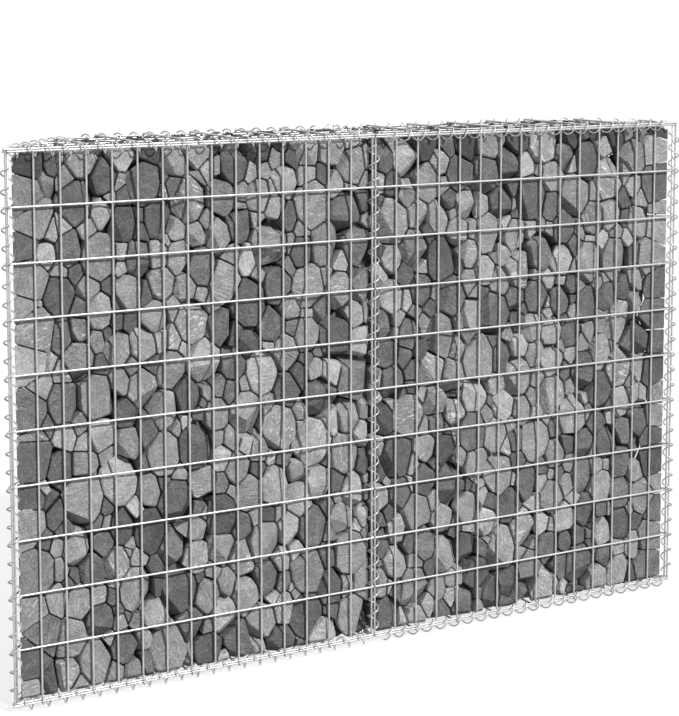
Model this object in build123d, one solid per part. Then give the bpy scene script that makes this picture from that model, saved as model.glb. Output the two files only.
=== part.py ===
from build123d import *
from math import ceil, cos, floor, radians, sin, sqrt
import os

os.makedirs("parts", exist_ok=True)

# Driving dimensions, in millimetres and degrees
front_length = 1500.0       # front mesh, from corner to corner
back_length = 1100.0        # back mesh, from corner to corner; the ends slant in to it
bed_depth = 200.0           # from the front mesh to the back mesh
bed_height = 1000.0         # from the foot of the wall meshes to their top
upright_spacing = 49.6      # the openings beside the edge wires are a little narrower
row_spacing = 100.0
lid_bar_spacing = 50.0      # bars of lid and base that run along the bed
uprights_per_cross_bar = 2  # bars of lid and base from front to back: one for every second upright
wire = 4.0                  # mesh wire, drawn as a square bar
joint_gap = 3.3             # between the two edge bars at the middle of the bed
fit = 0.3                   # free space between pieces that seat on each other
spiral_wire = 3.0           # across the corners of the spiral's three-sided wire
spiral_diameter = 24.0      # over the outside of the turns
spiral_sides = 4            # straight runs in a turn
turns_per_row = 3           # turns of an upright spiral between two rows
turns_per_two_uprights = 3  # turns of a level spiral between every second upright
end_corner_turn = 15.0      # how far the corners of the spiral on an end's top edge are turned
most_stretch = 0.12         # how far a spiral may be pulled or pressed to miss the bars
stretch_steps = 24          # pulls and pushes tried up to that limit
start_steps = 198           # places tried for a spiral's start within one turn
steps_per_run = 6           # places on a straight run where its room is measured
spiral_clearance = 0.6      # room wanted between a spiral and each bar that crosses it
spiral_end_gap = 15.0       # least space from a corner of the bed to a spiral's end
stone_inset = 8.0           # from a mesh to the face of the stones
stone_top_gap = 8.0         # from the top of the walls to the stones
stone_to_spiral = 1.5

# Sizes that follow
half_front = front_length / 2
half_back = back_length / 2
slant = Vector(half_front - half_back, bed_depth, 0)
end_length = slant.length
along_end = slant.normalized()
out_of_end = Vector(-along_end.Y, along_end.X, 0)
front_corner = Vector(-half_front, 0, 0)
back_corner = Vector(-half_back, bed_depth, 0)
half_wire = wire / 2
joint_inset = joint_gap / 2 + half_wire
spiral_radius = (spiral_diameter - spiral_wire) / 2
spiral_room = spiral_radius - spiral_wire / 2 * sqrt(2)
fit_slope = fit * sqrt(2)   # the same free space, measured level across a sloping run
level_pitch = upright_spacing * 2 / turns_per_two_uprights
upright_pitch = row_spacing / turns_per_row

# Edge bars keep clear of each other where two meshes meet at an angle
end_slope = along_end.X / along_end.Y
corner_inset = half_wire + fit * 1.5 + wire * end_slope
back_inset = half_wire


def spaced(first, last, step):
    """Places of the bars of a mesh: one at each edge and the rest on the spacing, about the middle."""
    openings = round((last - first) / step)
    middle = (first + last) / 2
    inner = [middle + (count - openings / 2) * step for count in range(1, openings)]
    return [first] + inner + [last]


def wall_mesh(uprights, outward):
    """A welded wall mesh on the XY plane: rows on its outer side and uprights on its inner side."""
    width = uprights[-1] - uprights[0] + wire
    middle = (uprights[-1] + uprights[0]) / 2
    upright_strips = Sketch() + [
        Pos(place, bed_height / 2) * Rectangle(wire, bed_height) for place in uprights
    ]
    row_strips = Sketch() + [Pos(middle, place) * Rectangle(width, wire) for place in rows]
    return extrude(row_strips, wire * outward) + extrude(upright_strips, -wire * outward)


def lid_mesh(outward):
    """Half of a lid on the XY plane: a frame with long bars, and cross bars on its outer side."""
    outer_slant = front_corner + out_of_end * wire
    front_x = outer_slant.X + (-wire - outer_slant.Y) * end_slope
    back_x = outer_slant.X + (bed_depth + wire - outer_slant.Y) * end_slope
    outline = make_face(
        Polyline(
            (front_x, -wire), (-joint_gap / 2, -wire),
            (-joint_gap / 2, bed_depth + wire), (back_x, bed_depth + wire), close=True,
        )
    )
    outline -= Pos(front_x, 0) * Rectangle(wire * 2, bed_depth)
    middle = bed_depth / 2
    long_strips = Sketch() + [
        Pos(-half_front / 2, place) * Rectangle(front_length, wire) for place in long_places
    ]
    cross_strips = Sketch() + [
        Pos(place, middle) * Rectangle(wire, bed_depth * 2) for place in cross_places
    ]
    end_plane = Plane(origin=front_corner, x_dir=along_end, z_dir=(0, 0, 1))
    end_strip = end_plane * Pos(end_length / 2, half_wire) * Rectangle(end_length * 2, wire)
    joint_strip = Pos(-joint_inset, middle) * Rectangle(wire, bed_depth * 2)
    frame = (long_strips + end_strip + joint_strip) & outline
    cross_bars = Pos(0, 0, wire * outward) * (cross_strips & outline)
    return extrude(frame, wire * outward) + extrude(cross_bars, wire * outward)


rows = spaced(half_wire, bed_height - half_wire, row_spacing)
front_uprights = spaced(corner_inset, half_front - joint_inset, upright_spacing)
back_uprights = spaced(back_inset, half_back - joint_inset, upright_spacing)
end_uprights = spaced(0, end_length - corner_inset, upright_spacing)
long_places = spaced(-half_wire, bed_depth + half_wire, lid_bar_spacing)
cross_places = [place - half_front for place in front_uprights[1:-2][::-uprights_per_cross_bar]]

front_plane = Plane(origin=front_corner, x_dir=(1, 0, 0), z_dir=(0, -1, 0))
back_plane = Plane(origin=back_corner, x_dir=(1, 0, 0), z_dir=(0, -1, 0))
end_plane = Plane(origin=front_corner, x_dir=along_end, z_dir=-out_of_end)

left = {}
left["front_panel"] = front_plane * wall_mesh(front_uprights, 1)
left["back_panel"] = back_plane * wall_mesh(back_uprights, -1)
left["end_panel"] = end_plane * wall_mesh(end_uprights, -1)
left["lid_panel"] = Pos(0, 0, bed_height + fit) * lid_mesh(1)
left["base_panel"] = Pos(0, 0, -fit) * lid_mesh(-1)


# Each spiral winds around two bars and hangs on the upper one; those at the foot all hang level
bar_reach = wire + fit / 2 + half_wire
sag = spiral_room - bar_reach - fit_slope
top_axis = bed_height + fit / 2 - sag
base_axis = -fit / 2 - sag
lid_joint_axis = bed_height + fit + half_wire - (spiral_room - joint_inset - wire - fit_slope)
up = Vector(0, 0, 1)
spiral_axes = []


def coil_corners(start, length, pitch):
    """Corners of a coil about the Z axis, with a corner on +X at the start and the ends kept clear."""
    run = pitch / spiral_sides
    first = ceil((spiral_end_gap - start) / run)
    last = floor((length - spiral_end_gap - start) / run)
    corners = []
    for corner in range(first, last + 1):
        angle = radians(360 / spiral_sides * corner)
        corners.append((spiral_radius * cos(angle), spiral_radius * sin(angle), start + run * corner))
    return corners


def room_beside(corners, bars, least_wanted):
    """Room between a coil and the bars that cross it, or the first room found below the least wanted."""
    reach = half_wire + spiral_wire / 2
    least = spiral_radius
    for one, other in zip(corners, corners[1:]):
        for step in range(steps_per_run):
            x, y, z = [a + (b - a) * step / steps_per_run for a, b in zip(one, other)]
            for at, way, side, face in bars:
                if abs(z - at[2]) > spiral_diameter:
                    continue
                off = (x - at[0], y - at[1], z - at[2])
                along, across, over = [sum(a * b for a, b in zip(off, line)) for line in (way, side, face)]
                if along > -half_wire:
                    least = min(least, max(abs(across), abs(over)) - reach)
        if least < least_wanted:
            return least
    return least


def spiral(axis, length, bars, pitch):
    """A coil about the plane's Z axis, started and eased in pitch so that it passes between the bars."""
    spiral_axes.append((axis, length))
    turned = Plane(origin=(0, 0, 0), x_dir=axis.x_dir, z_dir=axis.z_dir)
    local_bars = []
    for point, way, face in bars:
        lines = [tuple(turned.to_local_coords(line)) for line in (way, way.cross(face), face)]
        local_bars.append((tuple(axis.to_local_coords(point)), *lines))
    best = (-spiral_diameter, pitch, 0)
    for step in sorted(range(-stretch_steps, stretch_steps + 1), key=abs):
        if best[0] > spiral_clearance:
            break
        eased = pitch * (1 + most_stretch * step / stretch_steps)
        for share in range(start_steps):
            start = eased * share / start_steps
            room = room_beside(coil_corners(start, length, eased), local_bars, best[0])
            best = max(best, (room, eased, start))
    _, pitch, start = best
    corners = coil_corners(start, length, pitch)
    path = Polyline(*corners)
    section = Plane(origin=corners[0], z_dir=path % 0) * RegularPolygon(spiral_wire / 2, 3)
    return axis * sweep(section, path, transition=Transition.RIGHT)


# The bars that cross each level edge, as a point inside the spiral and a direction
east, north = Vector(1, 0, 0), Vector(0, 1, 0)
wall_feet = {
    "front": [front_corner + Vector(place, half_wire, 0) for place in front_uprights],
    "back": [back_corner + Vector(place, -half_wire, 0) for place in back_uprights],
    "end": [front_corner + along_end * place - out_of_end * half_wire for place in end_uprights],
}


def level_bars(edge, height, outward):
    """Uprights, cross bars and long bars that cross the spiral along one edge of the lid or base."""
    level = height + (fit + half_wire) * outward
    cross_level = up * (level + wire * outward)
    face = {"front": north, "back": north, "end": out_of_end}[edge]
    bars = [(foot + up * height, -up * outward, face) for foot in wall_feet[edge]]
    for x in cross_places:
        slant_y = (x + half_front) / end_slope
        if edge == "front":
            bars.append((Vector(x, -half_wire, 0) + cross_level, north, up))
        elif edge == "back" and slant_y > bed_depth:
            bars.append((Vector(x, bed_depth + half_wire, 0) + cross_level, -north, up))
        elif edge == "end" and slant_y < bed_depth:
            bars.append((Vector(x, slant_y + wire, 0) + cross_level, -north, up))
    if edge == "end":
        for y in long_places[1:-1]:
            bars.append((Vector(y * end_slope - half_front - wire, y, level), east, up))
    return bars


level_edges = {
    "front": (front_corner + Vector(0, -half_wire, 0), east, half_front),
    "back": (back_corner + Vector(0, half_wire, 0), east, half_back),
    "end": (front_corner + out_of_end * half_wire, along_end, end_length),
}
for edge, (start, direction, length) in level_edges.items():
    for name, height, lift, outward in (("top", bed_height, top_axis, 1), ("base", 0, base_axis, -1)):
        turn = radians(end_corner_turn) if (edge, name) == ("end", "top") else 0
        first_corner = up * cos(turn) + direction.cross(up) * sin(turn)
        axis = Plane(origin=start + up * lift, x_dir=first_corner, z_dir=direction)
        bars = level_bars(edge, height, outward)
        left[f"{edge}_{name}_spiral"] = spiral(axis, length, bars, level_pitch)


def upright_spiral(one_bar, other_bar, one_way, other_way, outward):
    """A spiral around two upright edge bars, past the rows that run off them on either side."""
    axis = Plane(origin=(one_bar + other_bar) / 2, x_dir=other_bar - one_bar, z_dir=up)
    bars = []
    for height in rows:
        bars.append((one_bar + outward[0] * wire + up * height, one_way, outward[0]))
        bars.append((other_bar + outward[1] * wire + up * height, other_way, outward[1]))
    return spiral(axis, bed_height, bars, upright_pitch)


left["front_corner_spiral"] = upright_spiral(
    wall_feet["end"][0], wall_feet["front"][0], along_end, east, (out_of_end, -north)
)
left["back_corner_spiral"] = upright_spiral(
    wall_feet["end"][-1], wall_feet["back"][0], -along_end, east, (out_of_end, north)
)

joints = {}
for name, depth, outward in (("front", half_wire, -north), ("back", bed_depth - half_wire, north)):
    joints[f"{name}_joint_spiral"] = upright_spiral(
        Vector(-joint_inset, depth, 0), Vector(joint_inset, depth, 0), -east, east, (outward, outward)
    )
for name, height, lift in (
    ("lid", bed_height + fit + half_wire, lid_joint_axis),
    ("base", -fit - half_wire, base_axis),
):
    axis = Plane(origin=up * lift, x_dir=up, z_dir=north)
    bars = []
    for y in long_places:
        bars.append((Vector(-joint_inset, y, height), -east, up))
        bars.append((Vector(joint_inset, y, height), east, up))
    joints[f"{name}_joint_spiral"] = spiral(axis, bed_depth, bars, level_pitch)

# The stones as one block, which lies on the base and keeps clear of the spirals
inset_along = stone_inset / along_end.Y
stone_front = half_front - inset_along - stone_inset * end_slope
stone_back = half_back - inset_along + stone_inset * end_slope
outline = Polyline(
    (-stone_front, stone_inset), (stone_front, stone_inset),
    (stone_back, bed_depth - stone_inset), (-stone_back, bed_depth - stone_inset), close=True,
)
stones = extrude(make_face(outline), bed_height - stone_top_gap)
for axis, length in spiral_axes:
    groove = axis * extrude(Circle(spiral_diameter / 2 + stone_to_spiral), length)
    stones -= groove + mirror(groove, Plane.YZ)

bed = dict(joints)
for name, part in left.items():
    bed[f"{name}_left"] = part
    bed[f"{name}_right"] = mirror(part, Plane.YZ)
bed["stone_fill"] = stones

# The bed stands on its lowest turns, with the origin under its middle
boxes = [part.bounding_box() for part in bed.values()]
lowest = min(box.min.Z for box in boxes)
front_most = min(box.min.Y for box in boxes)
back_most = max(box.max.Y for box in boxes)
stand = Pos(0, -(front_most + back_most) / 2, -lowest)
for name, part in bed.items():
    export_step(stand * part, f"parts/{name}.step")
    print(name, round(part.volume), "faces", len(part.faces()))
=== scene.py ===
"""A gabion raised bed: welded mesh walls laced by wire spirals and filled with broken stone."""

import logging
import math
from dataclasses import dataclass, field
from enum import Enum
from functools import cached_property

import bmesh
import bpy
import numpy as np
from mathutils import Matrix, Vector, noise


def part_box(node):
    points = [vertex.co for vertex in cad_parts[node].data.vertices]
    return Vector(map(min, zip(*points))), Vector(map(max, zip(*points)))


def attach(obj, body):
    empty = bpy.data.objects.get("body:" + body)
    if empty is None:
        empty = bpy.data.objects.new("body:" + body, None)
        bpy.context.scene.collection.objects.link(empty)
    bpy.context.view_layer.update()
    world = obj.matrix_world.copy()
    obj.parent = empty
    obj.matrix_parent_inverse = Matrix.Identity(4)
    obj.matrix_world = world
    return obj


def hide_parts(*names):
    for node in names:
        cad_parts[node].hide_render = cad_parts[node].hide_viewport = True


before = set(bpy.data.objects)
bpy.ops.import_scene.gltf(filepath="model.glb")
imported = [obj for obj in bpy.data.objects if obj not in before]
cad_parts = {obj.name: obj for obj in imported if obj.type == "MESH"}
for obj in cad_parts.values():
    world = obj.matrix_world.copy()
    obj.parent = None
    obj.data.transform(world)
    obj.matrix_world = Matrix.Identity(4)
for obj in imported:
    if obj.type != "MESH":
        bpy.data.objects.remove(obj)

log = logging.getLogger("gabion")
Piece = bpy.types.Object
Socket = bpy.types.NodeSocket
Random = np.random.Generator
Pair = tuple[float, float]
Triple = tuple[float, float, float]
UP, EAST, NORTH = Vector((0, 0, 1)), Vector((1, 0, 0)), Vector((0, 1, 0))
WHITE = (1, 1, 1, 1)
METRE = 1000.0


@dataclass(frozen=True)
class BedSizes:
    """The bed's driving sizes in millimetres, with the walls' foot at z 0 and the front at y 0."""

    front_length: float = 1500.0
    back_length: float = 1100.0
    depth: float = 200.0
    height: float = 1000.0
    upright_spacing: float = 49.6
    row_spacing: float = 100.0
    lid_bar_spacing: float = 50.0
    uprights_per_cross_bar: int = 2
    wire: float = 4.0
    joint_gap: float = 3.3
    fit: float = 0.3
    spiral_wire: float = 3.0
    spiral_diameter: float = 24.0
    spiral_end_gap: float = 15.0
    stone_inset: float = 5.4
    stone_top_gap: float = 2.0

    @property
    def half_front(self) -> float:
        """Half the length of the front mesh."""
        return self.front_length / 2

    @property
    def half_back(self) -> float:
        """Half the length of the back mesh."""
        return self.back_length / 2

    @property
    def half_wire(self) -> float:
        """Radius of the mesh wire."""
        return self.wire / 2

    @property
    def joint_inset(self) -> float:
        """From the middle of the bed to the centre of a mesh's edge wire there."""
        return self.joint_gap / 2 + self.half_wire

    @property
    def front_corner(self) -> Vector:
        """The left end of the front mesh."""
        return Vector((-self.half_front, 0, 0))

    @property
    def back_corner(self) -> Vector:
        """The left end of the back mesh."""
        return Vector((-self.half_back, self.depth, 0))

    @property
    def along_end(self) -> Vector:
        """Direction of the slanted left end, from front to back."""
        return (self.back_corner - self.front_corner).normalized()

    @property
    def out_of_end(self) -> Vector:
        """Direction out of the slanted left end."""
        return Vector((-self.along_end.y, self.along_end.x, 0))

    @property
    def end_length(self) -> float:
        """Length of the slanted end."""
        return (self.back_corner - self.front_corner).length

    @property
    def end_slope(self) -> float:
        """How far the end goes sideways for each millimetre of depth."""
        return self.along_end.x / self.along_end.y

    @property
    def corner_inset(self) -> float:
        """From a front corner to the centre of the first upright."""
        return self.half_wire + self.fit * 1.5 + self.wire * self.end_slope

    @property
    def spiral_radius(self) -> float:
        """From a spiral's axis to the middle of its wire."""
        return (self.spiral_diameter - self.spiral_wire) / 2

    @property
    def spiral_room(self) -> float:
        """From a spiral's axis to where its wire hangs on a bar."""
        return self.spiral_radius - self.spiral_wire / 2 * math.sqrt(2)

    @property
    def front_uprights(self) -> list[float]:
        """Places of the front mesh's uprights, from its corner."""
        return spaced(self.corner_inset, self.half_front - self.joint_inset, self.upright_spacing)

    @property
    def lid_depths(self) -> list[float]:
        """Depths of the lid's long bars."""
        return spaced(-self.half_wire, self.depth + self.half_wire, self.lid_bar_spacing)

    @property
    def lid_crossings(self) -> list[float]:
        """Sideways places of the lid's cross bars, each over an upright of the front."""
        inner = self.front_uprights[1:-2][:: -self.uprights_per_cross_bar]
        return [spot - self.half_front for spot in inner]

    def to_frame(self) -> Matrix:
        """The move and scale from these millimetres to the frame's metres, read from two nodes.

        Returns:
            The matrix.
        """
        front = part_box("front_panel_left")[0]
        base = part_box("base_panel_left")[0]
        foot = base.z + (self.wire * 2 + self.fit) / METRE
        shift = Vector((0, front.y + self.wire / METRE, foot))
        return Matrix.Translation(shift) @ Matrix.Scale(1 / METRE, 4)


def spaced(first: float, last: float, step: float) -> list[float]:
    """Places of a mesh's wires: one at each edge, the rest on the spacing, about the middle.

    Args:
        first: place of the first edge wire.
        last: place of the last edge wire.
        step: spacing of the wires between.

    Returns:
        The places, in order.
    """
    openings = round((last - first) / step)
    middle = (first + last) / 2
    inner = [middle + (count - openings / 2) * step for count in range(1, openings)]
    return [first, *inner, last]


def deselect_all() -> None:
    """Leaves edit mode and clears the selection."""
    if bpy.context.object and bpy.context.object.mode != "OBJECT":
        bpy.ops.object.mode_set(mode="OBJECT")
    bpy.ops.object.select_all(action="DESELECT")


def join(parts: list[Piece], name: str) -> Piece:
    """Joins several parts into one piece.

    Args:
        parts: the parts; the first one takes the others in.
        name: name of the joined piece.

    Returns:
        The joined piece.
    """
    deselect_all()
    for part in parts:
        part.select_set(True)
    bpy.context.view_layer.objects.active = parts[0]
    bpy.ops.object.join()
    bpy.ops.object.transform_apply(location=True, rotation=True, scale=True)
    joined = bpy.context.active_object
    joined.name = joined.data.name = name
    return joined


def copy_of(piece: Piece, name: str) -> Piece:
    """A copy of a piece, with its own mesh.

    Args:
        piece: the piece.
        name: name of the copy.

    Returns:
        The copy.
    """
    copy = piece.copy()
    copy.data = piece.data.copy()
    copy.name = copy.data.name = name
    bpy.context.scene.collection.objects.link(copy)
    return copy


def turn_over(piece: Piece) -> Piece:
    """Moves a left piece to the other side of the middle of the bed, as its mirror image.

    Args:
        piece: the piece.

    Returns:
        The same piece.
    """
    piece.data.transform(Matrix.Diagonal((-1, 1, 1, 1)))
    piece.data.flip_normals()
    return piece


def place(piece: Piece, sizes: BedSizes, node: str, finish: bpy.types.Material) -> None:
    """Puts a finished piece into the frame for the node it stands for, and dresses it.

    Args:
        piece: the piece, still in millimetres.
        sizes: the bed's sizes.
        node: the frame's node that it stands for.
        finish: its material.
    """
    piece.data.transform(sizes.to_frame())
    piece.data.materials.clear()
    piece.data.materials.append(finish)
    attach(piece, "root")
    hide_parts(node)
    log.info("%s: %d faces", piece.name, len(piece.data.polygons))


@dataclass(frozen=True)
class Speckle:
    """One noise texture: its scale in waves a metre, its detail, roughness and distortion."""

    scale: float
    detail: float
    roughness: float = 0.5
    distortion: float = 0.0


class Grain:
    """Adds nodes to a material or a surround, and joins them."""

    def __init__(self, finish: bpy.types.ID) -> None:
        """Takes the node tree of a material or a surround.

        Args:
            finish: the material or surround.
        """
        finish.use_nodes = True
        self.nodes = finish.node_tree.nodes
        self.links = finish.node_tree.links

    def feed(self, slot: Socket, value: object) -> None:
        """Gives an input its value.

        Args:
            slot: the input.
            value: a constant, or another node's output.
        """
        if isinstance(value, Socket):
            self.links.new(value, slot)
        else:
            slot.default_value = value

    def set_up(self, node: bpy.types.Node, **settings: object) -> bpy.types.Node:
        """Sets a node up.

        Args:
            node: the node.
            settings: its properties and inputs, with constants or other nodes' outputs.

        Returns:
            The node.
        """
        for name, value in settings.items():
            if hasattr(node, name):
                setattr(node, name, value)
            else:
                self.feed(node.inputs[name.replace("_", " ")], value)
        return node

    def add(self, kind: str, **settings: object) -> bpy.types.Node:
        """A new node of this kind, set up."""
        return self.set_up(self.nodes.new(kind), **settings)

    def textures(self, spot: Socket, *speckles: Speckle) -> list[Socket]:
        """Several noise textures at the same place.

        Args:
            spot: the coordinates.
            speckles: the textures.

        Returns:
            Their values.
        """
        made = []
        for speckle in speckles:
            settings = {name.title(): value for name, value in vars(speckle).items()}
            made.append(self.add("ShaderNodeTexNoise", Vector=spot, **settings).outputs["Fac"])
        return made

    def ramp(self, factor: Socket, *stops: tuple[float, Triple]) -> Socket:
        """A colour ramp.

        Args:
            factor: what drives it.
            stops: places and linear colours.

        Returns:
            The colour.
        """
        node = self.add("ShaderNodeValToRGB", Fac=factor)
        elements = node.color_ramp.elements
        while len(elements) < len(stops):
            elements.new(0.5)
        for element, (spot, colour) in zip(elements, stops):
            element.position = spot
            element.color = (*colour, 1)
        return node.outputs["Color"]

    def calculate(self, how: str, *values: object) -> Socket:
        """One step of arithmetic.

        Args:
            how: the operation.
            values: two or three numbers or sockets.

        Returns:
            The result.
        """
        node = self.add("ShaderNodeMath", operation=how)
        for slot, value in zip(node.inputs, values):
            self.feed(slot, value)
        return node.outputs[0]

    def spread(self, start: object, *parts: tuple[Socket, float]) -> Socket:
        """A level with several textures added, each about its middle.

        Args:
            start: the level.
            parts: each texture and how strongly it counts.

        Returns:
            The varied level.
        """
        level = start
        for value, weight in parts:
            part = self.calculate("MULTIPLY_ADD", value, weight, -weight / 2)
            level = self.calculate("ADD", level, part)
        return level

    def bump(self, height: Socket, strength: float, distance: float) -> Socket:
        """The normal of a fine relief, which is so strong and so many metres deep."""
        node = self.add("ShaderNodeBump", Height=height, Strength=strength, Distance=distance)
        return node.outputs["Normal"]

    def seen_directly(self) -> Socket:
        """One for what the camera, a gloss or a glass shows, and nought for light on things.

        Returns:
            The one or nought.
        """
        path = self.add("ShaderNodeLightPath").outputs
        seen = self.calculate("MAXIMUM", path["Is Camera Ray"], path["Is Glossy Ray"])
        return self.calculate("MAXIMUM", seen, path["Is Transmission Ray"])


@dataclass(frozen=True)
class ZincFinish:
    """Hot-dip zinc on steel wire: grey, with soft spangle and faint dull patches."""

    name: str
    bright: Triple
    dull: Triple
    dull_stop: float = 0.25
    bright_stop: float = 0.75
    metallic: float = 0.45
    roughness: float = 0.34
    roughness_spread: float = 0.2
    patch: Speckle = Speckle(38.0, 4.0, 0.6)
    patch_weight: float = 1.1
    spangle: Speckle = Speckle(260.0, 1.0, 0.5, 1.5)
    spangle_weight: float = 0.5
    fine: Speckle = Speckle(900.0, 3.0)
    relief: float = 0.25
    relief_depth: float = 0.0002

    def make(self) -> bpy.types.Material:
        """Builds the material.

        Returns:
            The material.
        """
        finish = bpy.data.materials.new(self.name)
        grain = Grain(finish)
        spot = grain.add("ShaderNodeTexCoord").outputs["Object"]
        patch, spangle, fine = grain.textures(spot, self.patch, self.spangle, self.fine)
        mix = grain.spread(0.5, (patch, self.patch_weight), (spangle, self.spangle_weight))
        stops = (self.dull_stop, self.dull), (self.bright_stop, self.bright)
        grain.set_up(
            grain.nodes["Principled BSDF"],
            Base_Color=grain.ramp(mix, *stops),
            Roughness=grain.spread(self.roughness, (fine, self.roughness_spread)),
            Normal=grain.bump(fine, self.relief, self.relief_depth),
            Metallic=self.metallic,
        )
        return finish


@dataclass(frozen=True)
class StoneFinish:
    """Broken grey stone: each stone has its own tone, streaks along its bedding and pale specks."""

    name: str = "broken_stone"
    tones: tuple[tuple[float, Triple], ...] = (
        (0.0, (0.07, 0.072, 0.075)),
        (0.3, (0.158, 0.16, 0.164)),
        (0.64, (0.362, 0.365, 0.369)),
        (1.0, (0.72, 0.722, 0.725)),
    )
    bedding_stretch: float = 6.0
    streak: Speckle = Speckle(46.0, 5.0, 0.62, 0.5)
    vein: Speckle = Speckle(52.0, 2.0, 0.5, 1.2)
    cloud: Speckle = Speckle(34.0, 4.0, 0.6)
    speck: Speckle = Speckle(240.0, 3.0, 0.75)
    tone_weights: Triple = (0.34, 0.5, 0.9)
    relief_weights: Triple = (1.0, 1.2, 0.3)
    vein_threshold: float = 0.58
    vein_strength: float = 6.0
    relief: float = 0.8
    relief_depth: float = 0.004
    roughness: float = 0.74
    roughness_spread: float = 0.2
    specular: float = 0.3

    def make(self) -> bpy.types.Material:
        """Builds the material.

        Returns:
            The material.
        """
        finish = bpy.data.materials.new(self.name)
        grain = Grain(finish)
        tone = grain.add("ShaderNodeAttribute", attribute_name="stone_tone").outputs["Fac"]
        veined = grain.add("ShaderNodeAttribute", attribute_name="stone_veins").outputs["Fac"]
        spot = grain.add("ShaderNodeAttribute", attribute_name="stone_place").outputs["Vector"]
        stretch = (1.0, 1.0, self.bedding_stretch)
        layers = grain.add("ShaderNodeMapping", Vector=spot, Scale=stretch).outputs["Vector"]
        streak, vein = grain.textures(layers, self.streak, self.vein)
        cloud, speck = grain.textures(spot, self.cloud, self.speck)
        peaks = grain.calculate("SUBTRACT", vein, self.vein_threshold)
        peaks = grain.calculate("MULTIPLY", grain.calculate("MAXIMUM", peaks, 0.0), veined)
        parts = (streak, cloud, speck)
        level = grain.spread(tone, *zip(parts, self.tone_weights))
        level = grain.calculate("MULTIPLY_ADD", peaks, self.vein_strength, level)
        height = grain.spread(0.0, *zip(parts, self.relief_weights))
        grain.set_up(
            grain.nodes["Principled BSDF"],
            Base_Color=grain.ramp(level, *self.tones),
            Roughness=grain.spread(self.roughness, (speck, self.roughness_spread)),
            Normal=grain.bump(height, self.relief, self.relief_depth),
            Specular_IOR_Level=self.specular,
        )
        return finish


@dataclass(frozen=True)
class WireShop:
    """Cuts round wires to length and welds them where they cross.

    The rim is the rounding of a cut end, and a bead's size is its radius in wires.
    """

    thickness: float
    sides: int = 10
    rim: float = 0.5
    bead_size: float = 0.52
    bead_flatness: float = 0.62
    bead_segments: int = 8
    bead_rings: int = 4
    crisp_angle: float = 40.0

    def bar(self, start: Vector, end: Vector) -> Piece:
        """A straight wire with its cut ends rounded off.

        Args:
            start: middle of one end.
            end: middle of the other end.

        Returns:
            The wire.
        """
        run = end - start
        deselect_all()
        bpy.ops.mesh.primitive_cylinder_add(
            vertices=self.sides,
            radius=self.thickness / 2,
            depth=run.length,
            location=(start + end) / 2,
            rotation=run.to_track_quat("Z", "Y").to_euler(),
        )
        wire = bpy.context.active_object
        for part in (*wire.data.edges, *wire.data.vertices):
            part.select = False
        for face in wire.data.polygons:
            face.select = len(face.vertices) == self.sides
        bpy.ops.object.mode_set(mode="EDIT")
        bpy.ops.mesh.select_mode(type="FACE")
        bpy.ops.mesh.bevel(offset=self.rim, segments=1)
        bpy.ops.object.mode_set(mode="OBJECT")
        return wire

    def beads(self, spots: list[Vector], normal: Vector) -> list[Piece]:
        """The flash of metal squeezed out at every weld, modelled once and copied.

        Args:
            spots: where two wires touch.
            normal: direction from one wire to the other.

        Returns:
            The beads.
        """
        deselect_all()
        bpy.ops.mesh.primitive_uv_sphere_add(
            segments=self.bead_segments,
            ring_count=self.bead_rings,
            radius=self.thickness * self.bead_size,
            location=spots[0],
            rotation=normal.to_track_quat("Z", "Y").to_euler(),
        )
        first = bpy.context.active_object
        first.scale = (1, 1, self.bead_flatness)
        made = [first]
        for spot in spots[1:]:
            made.append(copy_of(first, "bead"))
            made[-1].location = spot
        return made

    def weld(self, parts: list[Piece], name: str) -> Piece:
        """Joins wires and beads into one mesh with smooth round sides and crisp cut ends.

        Args:
            parts: the wires and beads.
            name: name of the mesh.

        Returns:
            The mesh.
        """
        mesh = join(parts, name)
        bpy.ops.object.shade_smooth_by_angle(angle=math.radians(self.crisp_angle))
        return mesh


@dataclass
class WallMesh:
    """One wall's welded mesh: rows on its outer side and uprights on its inner side."""

    name: str
    origin: Vector
    along: Vector
    outward: Vector
    uprights: list[float]
    rows: list[float]
    height: float
    shop: WireShop

    def build(self) -> Piece:
        """Builds the mesh on its wall.

        Returns:
            The mesh.
        """
        half = self.shop.thickness / 2
        parts = []
        for spot in self.uprights:
            foot = self.origin + self.along * spot - self.outward * half
            parts.append(self.shop.bar(foot, foot + UP * self.height))
        first = self.origin + self.along * (self.uprights[0] - half) + self.outward * half
        last = self.origin + self.along * (self.uprights[-1] + half) + self.outward * half
        for level in self.rows:
            parts.append(self.shop.bar(first + UP * level, last + UP * level))
        crossings = [
            self.origin + self.along * spot + UP * level
            for spot in self.uprights
            for level in self.rows
        ]
        return self.shop.weld(parts + self.shop.beads(crossings, self.outward), self.name)


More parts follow.
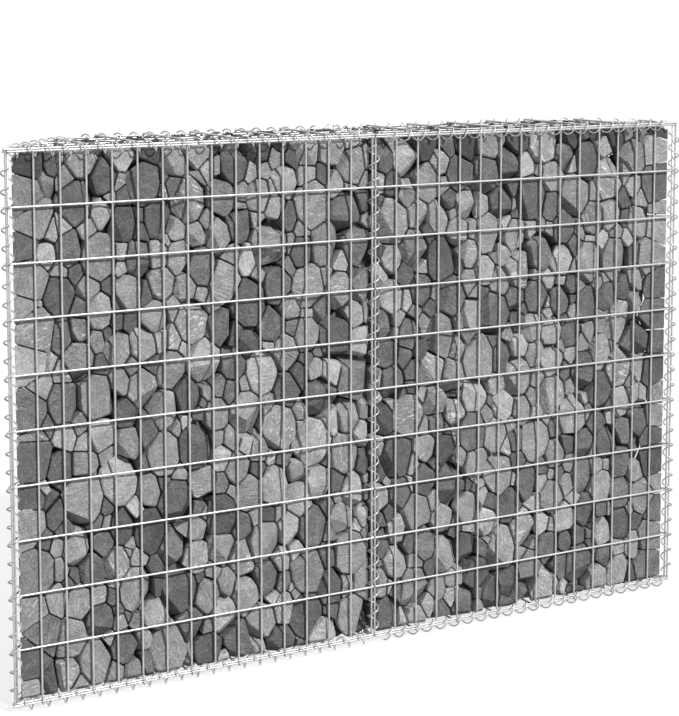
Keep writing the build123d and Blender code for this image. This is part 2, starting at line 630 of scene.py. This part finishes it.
@dataclass
class LidMesh:
    """Half of the lid or of the base: a frame with long bars, and cross bars on its outer side.

    The trims are how far the slanted bar's ends lie behind the corners, in half wires.
    """

    name: str
    sizes: BedSizes
    level: float
    outward: int
    shop: WireShop
    front_trim: float = 0.2
    back_trim: float = 1.2

    @property
    def slant_middle(self) -> Vector:
        """The middle of the slanted end bar's front end."""
        return self.sizes.front_corner + self.sizes.out_of_end * self.sizes.half_wire

    def slant_at(self, depth: float) -> float:
        """The x at which a long bar at this depth meets the slanted end bar."""
        return self.slant_middle.x + (depth - self.slant_middle.y) * self.sizes.end_slope

    def depth_at(self, x: float) -> float:
        """How far back a cross bar at x can reach before it passes the slanted end bar."""
        reach = self.slant_middle.y + (x - self.slant_middle.x) / self.sizes.end_slope
        return min(self.sizes.depth + self.sizes.wire, reach + self.sizes.half_wire)

    def build(self) -> Piece:
        """Builds the half lid.

        Returns:
            The mesh.
        """
        sizes = self.sizes
        half = sizes.half_wire
        low = self.level + self.outward * half
        high = low + self.outward * sizes.wire
        inner = -sizes.joint_gap / 2
        parts, spots = [], []
        for depth in sizes.lid_depths:
            start = self.slant_at(depth) + (half if depth < 0 else 0)
            parts.append(self.shop.bar(Vector((start, depth, low)), Vector((inner, depth, low))))
        outside = sizes.out_of_end * half
        first = sizes.front_corner + outside + sizes.along_end * (half * self.front_trim)
        last = sizes.back_corner + outside + sizes.along_end * (half * self.back_trim)
        parts.append(self.shop.bar(first + UP * low, last + UP * low))
        edge = Vector((-sizes.joint_inset, -sizes.wire, low))
        parts.append(self.shop.bar(edge, edge + NORTH * (sizes.depth + sizes.wire * 2)))
        for x in sizes.lid_crossings:
            back = self.depth_at(x)
            parts.append(self.shop.bar(Vector((x, -sizes.wire, high)), Vector((x, back, high))))
            behind = [depth for depth in sizes.lid_depths if depth < back]
            spots += [Vector((x, depth, (low + high) / 2)) for depth in behind]
        return self.shop.weld(parts + self.shop.beads(spots, UP), self.name)


@dataclass(frozen=True)
class SpiralRun:
    """Where a lacing spiral lies and how it winds."""

    origin: Vector
    zero: Vector
    direction: Vector
    length: float
    pitch: float
    start: float
    end_gap: float

    @property
    def first_quarter(self) -> int:
        """The quarter turn at which the wire begins, counted from the start of the axis."""
        return math.ceil((self.end_gap - self.start) / self.pitch * 4)

    @property
    def turns(self) -> float:
        """How many turns there are, in whole quarters."""
        last = math.floor((self.length - self.end_gap - self.start) / self.pitch * 4)
        return (last - self.first_quarter) / 4

    def matrix(self) -> Matrix:
        """From the coil's own axes to the bed, with its first turn at its place.

        Returns:
            The matrix.
        """
        axes = Matrix((self.zero, self.direction.cross(self.zero), self.direction))
        axes = axes.transposed().to_4x4()
        quarters = self.first_quarter / 4
        lead = Matrix.Translation((0, 0, self.start + self.pitch * quarters))
        turned = Matrix.Rotation(math.tau * quarters, 4, "Z")
        return Matrix.Translation(self.origin) @ axes @ lead @ turned


@dataclass(frozen=True)
class SpiralShop:
    """Winds round wire into lacing spirals."""

    radius: float
    thickness: float
    sides: int = 8
    steps_per_turn: int = 20
    crisp_angle: float = 60.0

    def wind(self, run: SpiralRun, name: str) -> Piece:
        """A coil with closed ends.

        Args:
            run: where it lies.
            name: name of the piece.

        Returns:
            The spiral.
        """
        tangent = Vector((0, math.tau * self.radius, run.pitch)).normalized()
        deselect_all()
        bpy.ops.mesh.primitive_circle_add(
            vertices=self.sides,
            radius=self.thickness / 2,
            location=(self.radius, 0, 0),
            rotation=tangent.to_track_quat("Z", "X").to_euler(),
        )
        coil = bpy.context.active_object
        bpy.ops.object.transform_apply(location=True, rotation=True, scale=True)
        winding = coil.modifiers.new("winding", "SCREW")
        winding.axis = "Z"
        winding.angle = math.tau * run.turns
        winding.screw_offset = run.pitch * run.turns
        winding.steps = winding.render_steps = round(self.steps_per_turn * run.turns)
        winding.use_smooth_shade = True
        winding.use_merge_vertices = False
        bpy.ops.object.modifier_apply(modifier=winding.name)
        bpy.ops.object.mode_set(mode="EDIT")
        bpy.ops.mesh.select_all(action="DESELECT")
        bpy.ops.mesh.select_mode(type="VERT")
        bpy.ops.mesh.select_non_manifold()
        bpy.ops.mesh.fill_holes(sides=self.sides)
        bpy.ops.mesh.select_all(action="SELECT")
        bpy.ops.mesh.normals_make_consistent(inside=False)
        bpy.ops.object.mode_set(mode="OBJECT")
        bpy.ops.object.shade_smooth_by_angle(angle=math.radians(self.crisp_angle))
        coil.data.transform(run.matrix())
        coil.name = coil.data.name = name
        return coil


@dataclass
class Lacing:
    """All the spirals that lace the meshes together."""

    sizes: BedSizes
    turns_per_row: int = 3
    turns_per_two_uprights: int = 3
    end_stretch: float = 1.12
    end_corner_turn: float = 15.0
    start_steps: int = 198
    starts: tuple[tuple[str, int], ...] = (
        ("front_top", 39),
        ("front_base", 96),
        ("back_top", 194),
        ("back_base", 136),
        ("end_top", 106),
        ("end_base", 25),
        ("front_corner", 91),
        ("back_corner", 54),
        ("front_joint", 148),
        ("back_joint", 50),
        ("lid_joint", 104),
        ("base_joint", 6),
    )

    def run(
        self, name: str, origin: Vector, zero: Vector, direction: Vector, length: float
    ) -> SpiralRun:
        """A spiral, started where it passes between the wires.

        Args:
            name: which spiral.
            origin: start of its axis.
            zero: direction of its first quarter turn.
            direction: direction of its axis.
            length: length of its axis.

        Returns:
            Where it lies.
        """
        pitch = self.sizes.upright_spacing * 2 / self.turns_per_two_uprights
        if direction == UP:
            pitch = self.sizes.row_spacing / self.turns_per_row
        elif name.startswith("end"):
            pitch *= self.end_stretch
        start = pitch * dict(self.starts)[name] / self.start_steps
        return SpiralRun(origin, zero, direction, length, pitch, start, self.sizes.spiral_end_gap)

    def upright(self, name: str, one: Vector, other: Vector) -> SpiralRun:
        """The named spiral, around two upright edge wires with these feet."""
        return self.run(name, (one + other) / 2, (other - one).normalized(), UP, self.sizes.height)

    def heights(self) -> dict[str, float]:
        """Heights of the axes of the level spirals.

        Returns:
            A height by level.
        """
        sizes = self.sizes
        fit_slope = sizes.fit * math.sqrt(2)
        sag = sizes.spiral_room - (sizes.wire + sizes.fit / 2 + sizes.half_wire) - fit_slope
        joint_sag = sizes.spiral_room - sizes.joint_inset - sizes.wire - fit_slope
        return {
            "top": sizes.height + sizes.fit / 2 - sag,
            "base": -sizes.fit / 2 - sag,
            "lid": sizes.height + sizes.fit + sizes.half_wire - joint_sag,
        }

    def half_runs(self) -> dict[str, SpiralRun]:
        """The spirals of the left half.

        Returns:
            The runs by name.
        """
        sizes = self.sizes
        outside = sizes.out_of_end * sizes.half_wire
        edges = {
            "front": (sizes.front_corner - NORTH * sizes.half_wire, EAST, sizes.half_front),
            "back": (sizes.back_corner + NORTH * sizes.half_wire, EAST, sizes.half_back),
            "end": (sizes.front_corner + outside, sizes.along_end, sizes.end_length),
        }
        runs = {}
        for edge, (start, direction, length) in edges.items():
            for level in ("top", "base"):
                name = f"{edge}_{level}"
                turn = math.radians(self.end_corner_turn if name == "end_top" else 0)
                zero = UP * math.cos(turn) + direction.cross(UP) * math.sin(turn)
                foot = start + UP * self.heights()[level]
                runs[name] = self.run(name, foot, zero, direction, length)
        end_foot = sizes.front_corner - outside
        last_foot = end_foot + sizes.along_end * (sizes.end_length - sizes.corner_inset)
        front_foot = sizes.front_corner + Vector((sizes.corner_inset, sizes.half_wire, 0))
        back_foot = sizes.back_corner + Vector((sizes.half_wire, -sizes.half_wire, 0))
        runs["front_corner"] = self.upright("front_corner", end_foot, front_foot)
        runs["back_corner"] = self.upright("back_corner", last_foot, back_foot)
        return runs

    def joint_runs(self) -> dict[str, SpiralRun]:
        """The four spirals on the middle line.

        Returns:
            The runs by name.
        """
        sizes = self.sizes
        runs = {}
        for wall, depth in (("front", sizes.half_wire), ("back", sizes.depth - sizes.half_wire)):
            feet = [Vector((side * sizes.joint_inset, depth, 0)) for side in (-1, 1)]
            runs[f"{wall}_joint"] = self.upright(f"{wall}_joint", *feet)
        for name in ("lid", "base"):
            runs[f"{name}_joint"] = self.run(
                f"{name}_joint", UP * self.heights()[name], UP, NORTH, sizes.depth
            )
        return runs


class Side(Enum):
    """Where a stone belongs: the side on which it shows, the core, or the slate on top."""

    FRONT = "front"
    BACK = "back"
    END = "end"
    TOP = "top"
    BASE = "base"
    CORE = "core"
    SLATE = "slate"


WALLS = (Side.FRONT, Side.BACK, Side.END, Side.TOP, Side.BASE, Side.CORE)


@dataclass(frozen=True)
class StoneSort:
    """A range of stone sizes, as radii, and how far inside the walls they lie."""

    smallest: float
    largest: float
    most: int
    tries: int
    inside: float = 0.0


@dataclass(frozen=True)
class Stone:
    """One shaped stone: its points and triangles, how it looks, and its own coordinates."""

    points: np.ndarray
    faces: np.ndarray
    tone: float
    veins: float
    bedding: np.ndarray


def hull(points: np.ndarray) -> np.ndarray:
    """The triangles that wrap a cloud of points, facing outwards.

    Args:
        points: the points.

    Returns:
        Three indices for each triangle.
    """
    shell = bmesh.new()
    for point in points:
        shell.verts.new(point)
    bmesh.ops.convex_hull(shell, input=shell.verts)
    shell.verts.index_update()
    faces = np.array([[v.index for v in face.verts] for face in shell.faces])
    shell.free()
    one, two, three = (points[faces[:, corner]] for corner in range(3))
    outward = ((one + two + three) / 3 - points.mean(0)) * np.cross(two - one, three - one)
    inside_out = outward.sum(1) < 0
    faces[inside_out] = faces[inside_out][:, ::-1]
    return faces


@dataclass(frozen=True)
class StoneLook:
    """How light the stones are and how strongly veined: some dark and plain, the rest lighter."""

    dark_share: float = 0.34
    dark: Pair = (0.27, 0.06)
    light: Pair = (0.61, 0.08)
    darker_on_top: float = 0.2
    most_veins_in_dark: float = 0.2
    rarity_of_veins: float = 2.5
    slate_tones: Pair = (0.0, 0.16)
    slate_veins: float = 0.1

    def pick(self, side: Side, rng: Random) -> Pair:
        """Picks the look of one stone; those on top are dark.

        Args:
            side: the side it shows on.
            rng: the random source.

        Returns:
            Its tone and its veins.
        """
        dark = side is Side.TOP or rng.random() < self.dark_share
        tone = rng.normal(*self.dark) if dark else rng.normal(*self.light)
        tone -= self.darker_on_top * (side is Side.TOP)
        if dark:
            veins = rng.uniform(0.0, self.most_veins_in_dark)
        else:
            veins = rng.uniform(0.0, 1.0) ** self.rarity_of_veins
        return float(tone), float(veins)


@dataclass(frozen=True)
class SlateShape:
    """The sizes of the thin dark chips in the openings of the lid, and where they may lie."""

    tries: int = 1100
    radii: Pair = (7.0, 15.0)
    margin: float = 15.0
    joint_margin: float = 4.0
    rise: Pair = (-1.0, 4.5)
    root: float = 8.0
    corners: int = 8
    narrowness: Pair = (0.6, 1.0)
    raggedness: Pair = (0.8, 1.0)
    taper: float = 0.86
    thickness: Pair = (0.6, 2.4)
    tilt: float = 0.22

    def slab(self, spot: np.ndarray, radius: float, foot: float, rng: Random) -> np.ndarray:
        """The corners of one chip.

        Args:
            spot: the middle of its top.
            radius: its reach.
            foot: height of its underside.
            rng: the random source.

        Returns:
            The points.
        """
        turns = np.sort(rng.uniform(0, math.tau, self.corners))
        breadth = rng.uniform(*self.narrowness)
        rim = np.stack([np.cos(turns), np.sin(turns) * breadth, turns * 0], axis=1)
        rim *= radius * rng.uniform(*self.raggedness, (self.corners, 1))
        top = rim * self.taper + (0, 0, rng.uniform(*self.thickness))
        tilt, lean = rng.uniform(-self.tilt, self.tilt, 2)
        top[:, 2] += top[:, 0] * tilt + top[:, 1] * lean
        return np.vstack([rim + (0, 0, foot - spot[2]), top]) + spot


def bedding(points: np.ndarray, rng: Random, shift: float = 5.0) -> np.ndarray:
    """A stone's own coordinates in metres, turned and shifted at random, for its streaks."""
    turn, _ = np.linalg.qr(rng.normal(size=(3, 3)))
    return (points - points.mean(0)) @ turn / METRE + rng.uniform(-shift, shift, 3)


@dataclass
class StoneFill:
    """The loose stones of one half, fitted closely together with thin gaps.

    The skin is how deep the middles of the outermost stones lie, the grid is the step to which
    their corners are rounded off, and the lumps are a fine relief.
    """

    sizes: BedSizes
    lacing: Lacing
    seed: int
    gap: float = 2.3
    closeness: float = 0.9
    tallness: float = 1.3
    spiral_clearance: float = 1.5
    spiral_end_room: float = 20.0
    grid: float = 0.3
    skin: Pair = (13.0, 18.0)
    least_room: float = 0.42
    least_room_by_spiral: float = 4.0
    neighbour_reach: float = 170.0
    most_neighbours: int = 44
    deepest_sunk: float = 2.0
    broken_corners: int = 4
    broken_depth: Pair = (0.88, 0.99)
    rounding: Pair = (1.8, 5.5)
    most_rounding: float = 0.2
    corner_reach: float = 30.0
    corner_rounding: float = 1.8
    least_half: float = 0.6
    least_facing: float = 0.05
    nearly_parallel: float = 1e-4
    lump_size: float = 11.0
    lump_depth: float = 0.9
    look: StoneLook = StoneLook()
    slate_shape: SlateShape = SlateShape()
    sorts: tuple[StoneSort, ...] = (
        StoneSort(30.0, 37.0, 90, 5000),
        StoneSort(23.0, 29.0, 260, 12000),
        StoneSort(16.0, 22.0, 280, 20000),
        StoneSort(10.0, 15.0, 200, 20000),
        StoneSort(6.5, 9.0, 150, 20000),
        StoneSort(24.0, 32.0, 420, 20000, 44.0),
    )
    spots: np.ndarray = field(default_factory=lambda: np.zeros((0, 3)))
    reach: np.ndarray = field(default_factory=lambda: np.zeros(0))

    @cached_property
    def walls(self) -> tuple[np.ndarray, np.ndarray]:
        """The planes that hold the left half's stones, the joint in the middle last.

        Returns:
            Outward normals and distances from the origin.
        """
        sizes = self.sizes
        out = np.array(sizes.out_of_end)
        end = out @ np.array(sizes.front_corner) - sizes.stone_inset
        normals = np.array([(0, -1, 0), (0, 1, 0), out, (0, 0, 1), (0, 0, -1), (1, 0, 0)], float)
        front, back = -sizes.stone_inset, sizes.depth - sizes.stone_inset
        top = sizes.height - sizes.stone_top_gap
        return normals, np.array([front, back, end, top, 0.0, -self.gap / 2])

    def room(self, spot: np.ndarray) -> dict[Side, float]:
        """How far each wall is from a spot."""
        normals, limits = self.walls
        return dict(zip(WALLS, limits - normals @ spot))

    @cached_property
    def spirals(self) -> list[SpiralRun]:
        """The spirals that touch this half."""
        return [*self.lacing.half_runs().values(), *self.lacing.joint_runs().values()]

    @property
    def spiral_room(self) -> float:
        """How far from a spiral's axis the stones stay."""
        return self.sizes.spiral_diameter / 2 + self.spiral_clearance

    @cached_property
    def bevels(self) -> tuple[np.ndarray, np.ndarray]:
        """The planes that keep the stones off the spirals in the edges of the fill.

        Returns:
            Outward normals and distances from the origin.
        """
        normals, limits = self.walls
        ways, far = [], []
        for run in self.spirals:
            beside = np.abs(normals @ np.array(run.origin) - limits) < self.spiral_room
            beside &= np.abs(normals @ np.array(run.direction)) < self.nearly_parallel
            way = normals[beside].sum(0)
            way /= np.linalg.norm(way)
            ways.append(way)
            far.append(way @ np.array(run.origin) - self.spiral_room)
        return np.array(ways), np.array(far)

    @property
    def squash(self) -> np.ndarray:
        """The scale in which the stones, which stand taller than wide, are evenly round."""
        return np.array([1, 1, 1 / self.tallness])

    def scatter(self) -> None:
        """Finds a place for every stone: the large ones against the walls first, the core last."""
        rng = np.random.default_rng(self.seed)
        normals, limits = self.walls
        slants, slant_limits = self.bevels
        low = np.array([-self.sizes.half_front, 0, 0])
        high = np.array([0, self.sizes.depth, self.sizes.height])
        most = sum(sort.most for sort in self.sorts)
        spots, reach, count = np.zeros((most, 3)), np.zeros(most), 0
        for sort in self.sorts:
            tried = rng.uniform(low, high, (sort.tries, 3))
            radii = rng.uniform(sort.smallest, sort.largest, sort.tries)
            sunk = rng.uniform(*self.skin, sort.tries)
            if not sort.inside:
                room = limits - tried @ normals.T
                nearest = room[:, :-1].argmin(1)
                move = room[np.arange(sort.tries), nearest] - sunk
                tried = tried + normals[nearest] * move[:, None]
            room = limits - tried @ normals.T
            fits = (room > np.minimum(radii * self.least_room, self.skin[0])[:, None]).all(1)
            fits &= (room[:, :-1] > sort.inside).all(1)
            fits &= (slant_limits - tried @ slants.T > self.least_room_by_spiral).all(1)
            left = sort.most
            for spot, radius in zip(tried[fits], radii[fits]):
                apart = np.linalg.norm((spots[:count] - spot) * self.squash, axis=1)
                if left and (apart > (reach[:count] + radius) * self.closeness).all():
                    spots[count], reach[count] = spot, radius
                    count += 1
                    left -= 1
        self.spots, self.reach = spots[:count], reach[:count]

    def in_corner(self, index: int) -> bool:
        """Whether a stone fills the sharp corner between the front and the slanted end."""
        room = self.room(self.spots[index])
        return bool(max(room[Side.FRONT], room[Side.END]) < self.corner_reach)

    def cell(self, index: int, rng: Random, broken: int) -> tuple[np.ndarray, np.ndarray]:
        """The planes that bound one stone, about its middle.

        Args:
            index: which stone.
            rng: the random source.
            broken: how many corners are broken off.

        Returns:
            Outward normals and distances.
        """
        spot, radius = self.spots[index], self.reach[index]
        offset = (self.spots - spot) * self.squash
        apart = np.linalg.norm(offset, axis=1)
        near = (apart > 0) & (apart < self.neighbour_reach)
        share = apart[near] / 2 + (radius**2 - self.reach[near] ** 2) / (2 * apart[near])
        closest = np.argsort(share)[: self.most_neighbours]
        toward = (offset[near] / apart[near][:, None])[closest] * self.squash
        steepness = np.linalg.norm(toward, axis=1)
        toward /= steepness[:, None]
        share = share[closest] / steepness - self.gap / 2
        normals, limits = self.walls
        slants, slant_limits = self.bevels
        sunk = rng.uniform(0.0, self.deepest_sunk, len(limits)) * (not self.in_corner(index))
        sunk[WALLS.index(Side.BASE)] = 0.0
        planes = np.vstack([toward, normals, slants])
        far = np.concatenate([share, limits - normals @ spot - sunk, slant_limits - slants @ spot])
        ways = rng.normal(size=(broken, 3))
        ways /= np.linalg.norm(ways, axis=1)[:, None]
        along = ways @ planes.T
        faced = along > self.least_facing
        across = np.where(faced, far / np.maximum(along, self.least_facing), np.inf).min(1)
        planes = np.vstack([planes, ways])
        return planes, np.concatenate([far, across * rng.uniform(*self.broken_depth, broken)])

    def shape(self, index: int, rng: Random, broken: int) -> tuple[np.ndarray, np.ndarray]:
        """One stone with flat faces and broken edges, as large as its neighbours let it be.

        Args:
            index: which stone.
            rng: the random source.
            broken: how many corners are broken off.

        Returns:
            Its points and its triangles.
        """
        planes, far = self.cell(index, rng, broken)
        rounding = min(rng.uniform(*self.rounding), self.reach[index] * self.most_rounding)
        if self.in_corner(index):
            rounding = self.corner_rounding
        inner = np.maximum(far - rounding, self.least_half)
        corners = hull(planes / inner[:, None])
        sides = planes[corners]
        sound = np.abs(np.linalg.det(sides)) > self.nearly_parallel
        corners, sides = corners[sound], sides[sound]
        tips = np.linalg.solve(sides, inner[corners][..., None])[..., 0]
        points = (tips[:, None, :] + sides * rounding).reshape(-1, 3) + self.spots[index]
        points = np.unique(np.round(points / self.grid), axis=0) * self.grid
        return points, hull(points)

    def roughen(self, points: np.ndarray) -> np.ndarray:
        """Moves points by a smooth noise, so that no face is quite flat."""
        lumps = [noise.noise_vector(Vector(point) / self.lump_size) for point in points]
        return points + np.array(lumps) * self.lump_depth

    def clear_spirals(self, points: np.ndarray) -> np.ndarray:
        """Moves points out of the room that the spirals need.

        Args:
            points: the points.

        Returns:
            The points, moved.
        """
        for run in self.spirals:
            axis = np.array(run.direction)
            offset = points - np.array(run.origin)
            height = offset @ axis
            across = offset - height[:, None] * axis
            apart = np.linalg.norm(across, axis=1)
            inside = (apart < self.spiral_room) & (height > -self.spiral_end_room)
            inside &= height < run.length + self.spiral_end_room
            points[inside] += across[inside] * (self.spiral_room / apart[inside] - 1)[:, None]
        return points

    def build(self) -> dict[Side, Piece]:
        """Builds the stones of the left half.

        Returns:
            One piece for each side.
        """
        self.scatter()
        log.info("%d stones in this half", len(self.spots))
        rng = np.random.default_rng(self.seed + 1)
        noise.seed_set(self.seed)
        normals, limits = self.walls
        heap: dict[Side, list[Stone]] = {side: [] for side in Side}
        for index, (spot, radius) in enumerate(zip(self.spots, self.reach)):
            room = self.room(spot)
            closest = min(WALLS[:-1], key=room.get)
            side = closest if room[closest] < radius else Side.CORE
            whole = side is Side.CORE or self.in_corner(index)
            points, faces = self.shape(index, rng, 0 if whole else self.broken_corners)
            points = self.roughen(points)
            points = points - np.maximum(points @ normals.T - limits, 0) @ normals
            points = self.clear_spirals(points)
            look = self.look.pick(side, rng)
            heap[side].append(Stone(points, faces, *look, bedding(points, rng)))
        heap[Side.SLATE] = self.slate(rng)
        return {side: self.pile(side, stones) for side, stones in heap.items()}

    def slate(self, rng: Random) -> list[Stone]:
        """Thin dark chips that lie on the stones in the openings of the lid.

        Args:
            rng: the random source.

        Returns:
            The chips.
        """
        sizes, shape = self.sizes, self.slate_shape
        across, along = np.array(sizes.lid_crossings), np.array(sizes.lid_depths)
        chips = []
        for _ in range(shape.tries):
            radius = rng.uniform(*shape.radii)
            x = rng.uniform(-sizes.half_front, -shape.joint_margin)
            y = rng.uniform(shape.margin, sizes.depth - shape.margin)
            spot = np.array([x, y, 0])
            room = self.room(spot)
            beside = min(room[side] for side in (Side.FRONT, Side.BACK, Side.END, Side.CORE))
            to_bar = min(np.abs(across - x).min(), np.abs(along - y).min())
            if to_bar < radius + sizes.half_wire or beside < radius + sizes.spiral_diameter / 2:
                continue
            spot[2] = sizes.height + rng.uniform(*shape.rise)
            points = shape.slab(spot, radius, sizes.height - shape.root, rng)
            look = (rng.uniform(*self.look.slate_tones), self.look.slate_veins)
            chips.append(Stone(points, hull(points), *look, bedding(points, rng)))
        return chips

    def pile(self, side: Side, stones: list[Stone]) -> Piece:
        """Joins stones into one mesh that keeps each stone's look and own coordinates.

        Args:
            side: the side they show on.
            stones: the stones.

        Returns:
            The piece.
        """
        counts = [len(stone.points) for stone in stones]
        starts = np.cumsum([0] + counts[:-1])
        faces = np.vstack([stone.faces + start for stone, start in zip(stones, starts)])
        mesh = bpy.data.meshes.new(f"stones_{side.value}")
        mesh.from_pydata(np.vstack([stone.points for stone in stones]).tolist(), [], faces.tolist())
        for name, values in (
            ("stone_tone", [stone.tone for stone in stones]),
            ("stone_veins", [stone.veins for stone in stones]),
        ):
            data = mesh.attributes.new(name, "FLOAT", "POINT").data
            data.foreach_set("value", np.repeat(values, counts))
        own = mesh.attributes.new("stone_place", "FLOAT_VECTOR", "POINT")
        own.data.foreach_set("vector", np.vstack([stone.bedding for stone in stones]).ravel())
        piece = bpy.data.objects.new(mesh.name, mesh)
        bpy.context.scene.collection.objects.link(piece)
        return piece


def flatten_faces(piece: Piece, strength: int = 80) -> None:
    """Shades a piece so that its large faces stay flat and its edges look rounded.

    Args:
        piece: the piece.
        strength: how much more a large face counts than a small one.
    """
    deselect_all()
    piece.select_set(True)
    bpy.context.view_layer.objects.active = piece
    bpy.ops.object.shade_smooth()
    weights = piece.modifiers.new("weights", "WEIGHTED_NORMAL")
    weights.mode = "FACE_AREA"
    weights.weight = strength
    bpy.ops.object.modifier_apply(modifier=weights.name)


@dataclass
class GabionBed:
    """The whole bed: meshes, lacing and stones."""

    sizes: BedSizes = field(default_factory=BedSizes)
    left_seed: int = 5
    right_seed: int = 23

    def walls(self, shop: WireShop) -> list[WallMesh]:
        """The wall meshes of the left half.

        Args:
            shop: what cuts and welds the wire.

        Returns:
            The meshes, not yet built.
        """
        sizes = self.sizes
        rows = spaced(sizes.half_wire, sizes.height - sizes.half_wire, sizes.row_spacing)
        back = spaced(sizes.half_wire, sizes.half_back - sizes.joint_inset, sizes.upright_spacing)
        end = spaced(0, sizes.end_length - sizes.corner_inset, sizes.upright_spacing)
        places = {
            "front": (sizes.front_corner, EAST, -NORTH, sizes.front_uprights),
            "back": (sizes.back_corner, EAST, NORTH, back),
            "end": (sizes.front_corner, sizes.along_end, sizes.out_of_end, end),
        }
        return [
            WallMesh(f"{name}_mesh", *spot, rows, sizes.height, shop)
            for name, spot in places.items()
        ]

    def meshes(self) -> None:
        """Builds the welded meshes."""
        sizes = self.sizes
        zinc = ZincFinish("galvanised_mesh", (0.68, 0.69, 0.70), (0.50, 0.51, 0.52)).make()
        shop = WireShop(sizes.wire)
        lid = LidMesh("lid_mesh", sizes, sizes.height + sizes.fit, 1, shop)
        base = LidMesh("base_mesh", sizes, -sizes.fit, -1, shop)
        for mesh in [*self.walls(shop), lid, base]:
            left = mesh.build()
            left.name = left.data.name = f"{mesh.name}_left"
            right = turn_over(copy_of(left, f"{mesh.name}_right"))
            for piece in (left, right):
                place(piece, sizes, piece.name.replace("mesh", "panel"), zinc)

    def lacing(self) -> None:
        """Builds the spirals."""
        sizes = self.sizes
        zinc = ZincFinish("galvanised_spiral", (0.66, 0.67, 0.68), (0.40, 0.41, 0.42)).make()
        lacing = Lacing(sizes)
        winder = SpiralShop(sizes.spiral_radius, sizes.spiral_wire)
        pieces = [winder.wind(run, f"{name}_lacing") for name, run in lacing.joint_runs().items()]
        for name, run in lacing.half_runs().items():
            left = winder.wind(run, f"{name}_lacing_left")
            pieces += [left, turn_over(copy_of(left, f"{name}_lacing_right"))]
        for piece in pieces:
            place(piece, sizes, piece.name.replace("lacing", "spiral"), zinc)

    def stones(self) -> None:
        """Builds the fill, each half with stones of its own."""
        finish = StoneFinish().make()
        for hand, seed in (("left", self.left_seed), ("right", self.right_seed)):
            for side, piece in StoneFill(self.sizes, Lacing(self.sizes), seed).build().items():
                piece.name = piece.data.name = f"stones_{side.value}_{hand}"
                if hand == "right":
                    turn_over(piece)
                flatten_faces(piece)
                place(piece, self.sizes, "stone_fill", finish)


@dataclass(frozen=True)
class Lamp:
    """A soft lamp, so far away that it lights the floor evenly; its softness is in degrees."""

    name: str
    toward: Triple
    softness: float
    strength: float
    distance: float = 4.0

    def hang(self) -> None:
        """Puts the lamp up."""
        toward = Vector(self.toward).normalized()
        data = bpy.data.lights.new(self.name, "SUN")
        data.angle = math.radians(self.softness)
        data.energy = self.strength
        lamp = bpy.data.objects.new(self.name, data)
        lamp.location = toward * self.distance
        lamp.rotation_euler = toward.to_track_quat("Z", "Y").to_euler()
        bpy.context.scene.collection.objects.link(lamp)


@dataclass(frozen=True)
class Studio:
    """A pale floor, a white surround, soft lamps and the camera."""

    ambient: float = 0.27
    floor_size: float = 400.0
    floor_lift: float = 0.78
    floor_colour: float = 0.21
    lamps: tuple[Lamp, ...] = (
        Lamp("key", (0.4, -1.0, 0.8), 3.0, 3.0),
        Lamp("overhead", (0.0, -0.15, 1.0), 50.0, 1.2),
    )
    lens: float = 91.974
    sensor_width: float = 36.0
    camera_shift: float = -0.22
    camera_spot: Triple = (-1.8067, -3.1526, 1.2635)
    camera_tilt: float = 90 - 6.041
    camera_turn: float = -29.522

    def floor(self) -> None:
        """A wide pale floor that keeps the bed's shadow."""
        deselect_all()
        bpy.ops.mesh.primitive_plane_add(size=self.floor_size, location=(0, 0, 0))
        ground = bpy.context.active_object
        ground.name = "floor"
        finish = bpy.data.materials.new("pale_floor")
        grain = Grain(finish)
        grain.set_up(
            grain.nodes["Principled BSDF"],
            Base_Color=(*[self.floor_colour] * 3, 1),
            Roughness=1.0,
            Specular_IOR_Level=0.0,
            Emission_Color=WHITE,
            Emission_Strength=grain.calculate("MULTIPLY", grain.seen_directly(), self.floor_lift),
        )
        ground.data.materials.append(finish)

    def surround(self) -> None:
        """White where it is seen, and a plain pale light on everything."""
        world = bpy.data.worlds.new("surround")
        bpy.context.scene.world = world
        grain = Grain(world)
        rest = 1.0 - self.ambient
        strength = grain.calculate("MULTIPLY_ADD", grain.seen_directly(), rest, self.ambient)
        grain.set_up(grain.nodes["Background"], Color=WHITE, Strength=strength)

    def camera(self) -> None:
        """The camera at the viewing angle of the photograph."""
        data = bpy.data.cameras.new("camera")
        data.lens = self.lens
        data.sensor_width = self.sensor_width
        data.shift_y = self.camera_shift
        camera = bpy.data.objects.new("camera", data)
        camera.location = self.camera_spot
        camera.rotation_euler = (math.radians(self.camera_tilt), 0, math.radians(self.camera_turn))
        bpy.context.scene.collection.objects.link(camera)
        bpy.context.scene.camera = camera

    def build(self) -> None:
        """Sets up the whole studio."""
        self.floor()
        self.surround()
        for lamp in self.lamps:
            lamp.hang()
        self.camera()
        bpy.context.scene.view_settings.view_transform = "Standard"


def main() -> None:
    """Builds the bed and the studio."""
    logging.basicConfig(level=logging.INFO, format="%(message)s")
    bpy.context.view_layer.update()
    bed = GabionBed()
    bed.meshes()
    bed.lacing()
    bed.stones()
    Studio().build()


if __name__ == "__main__":
    main()
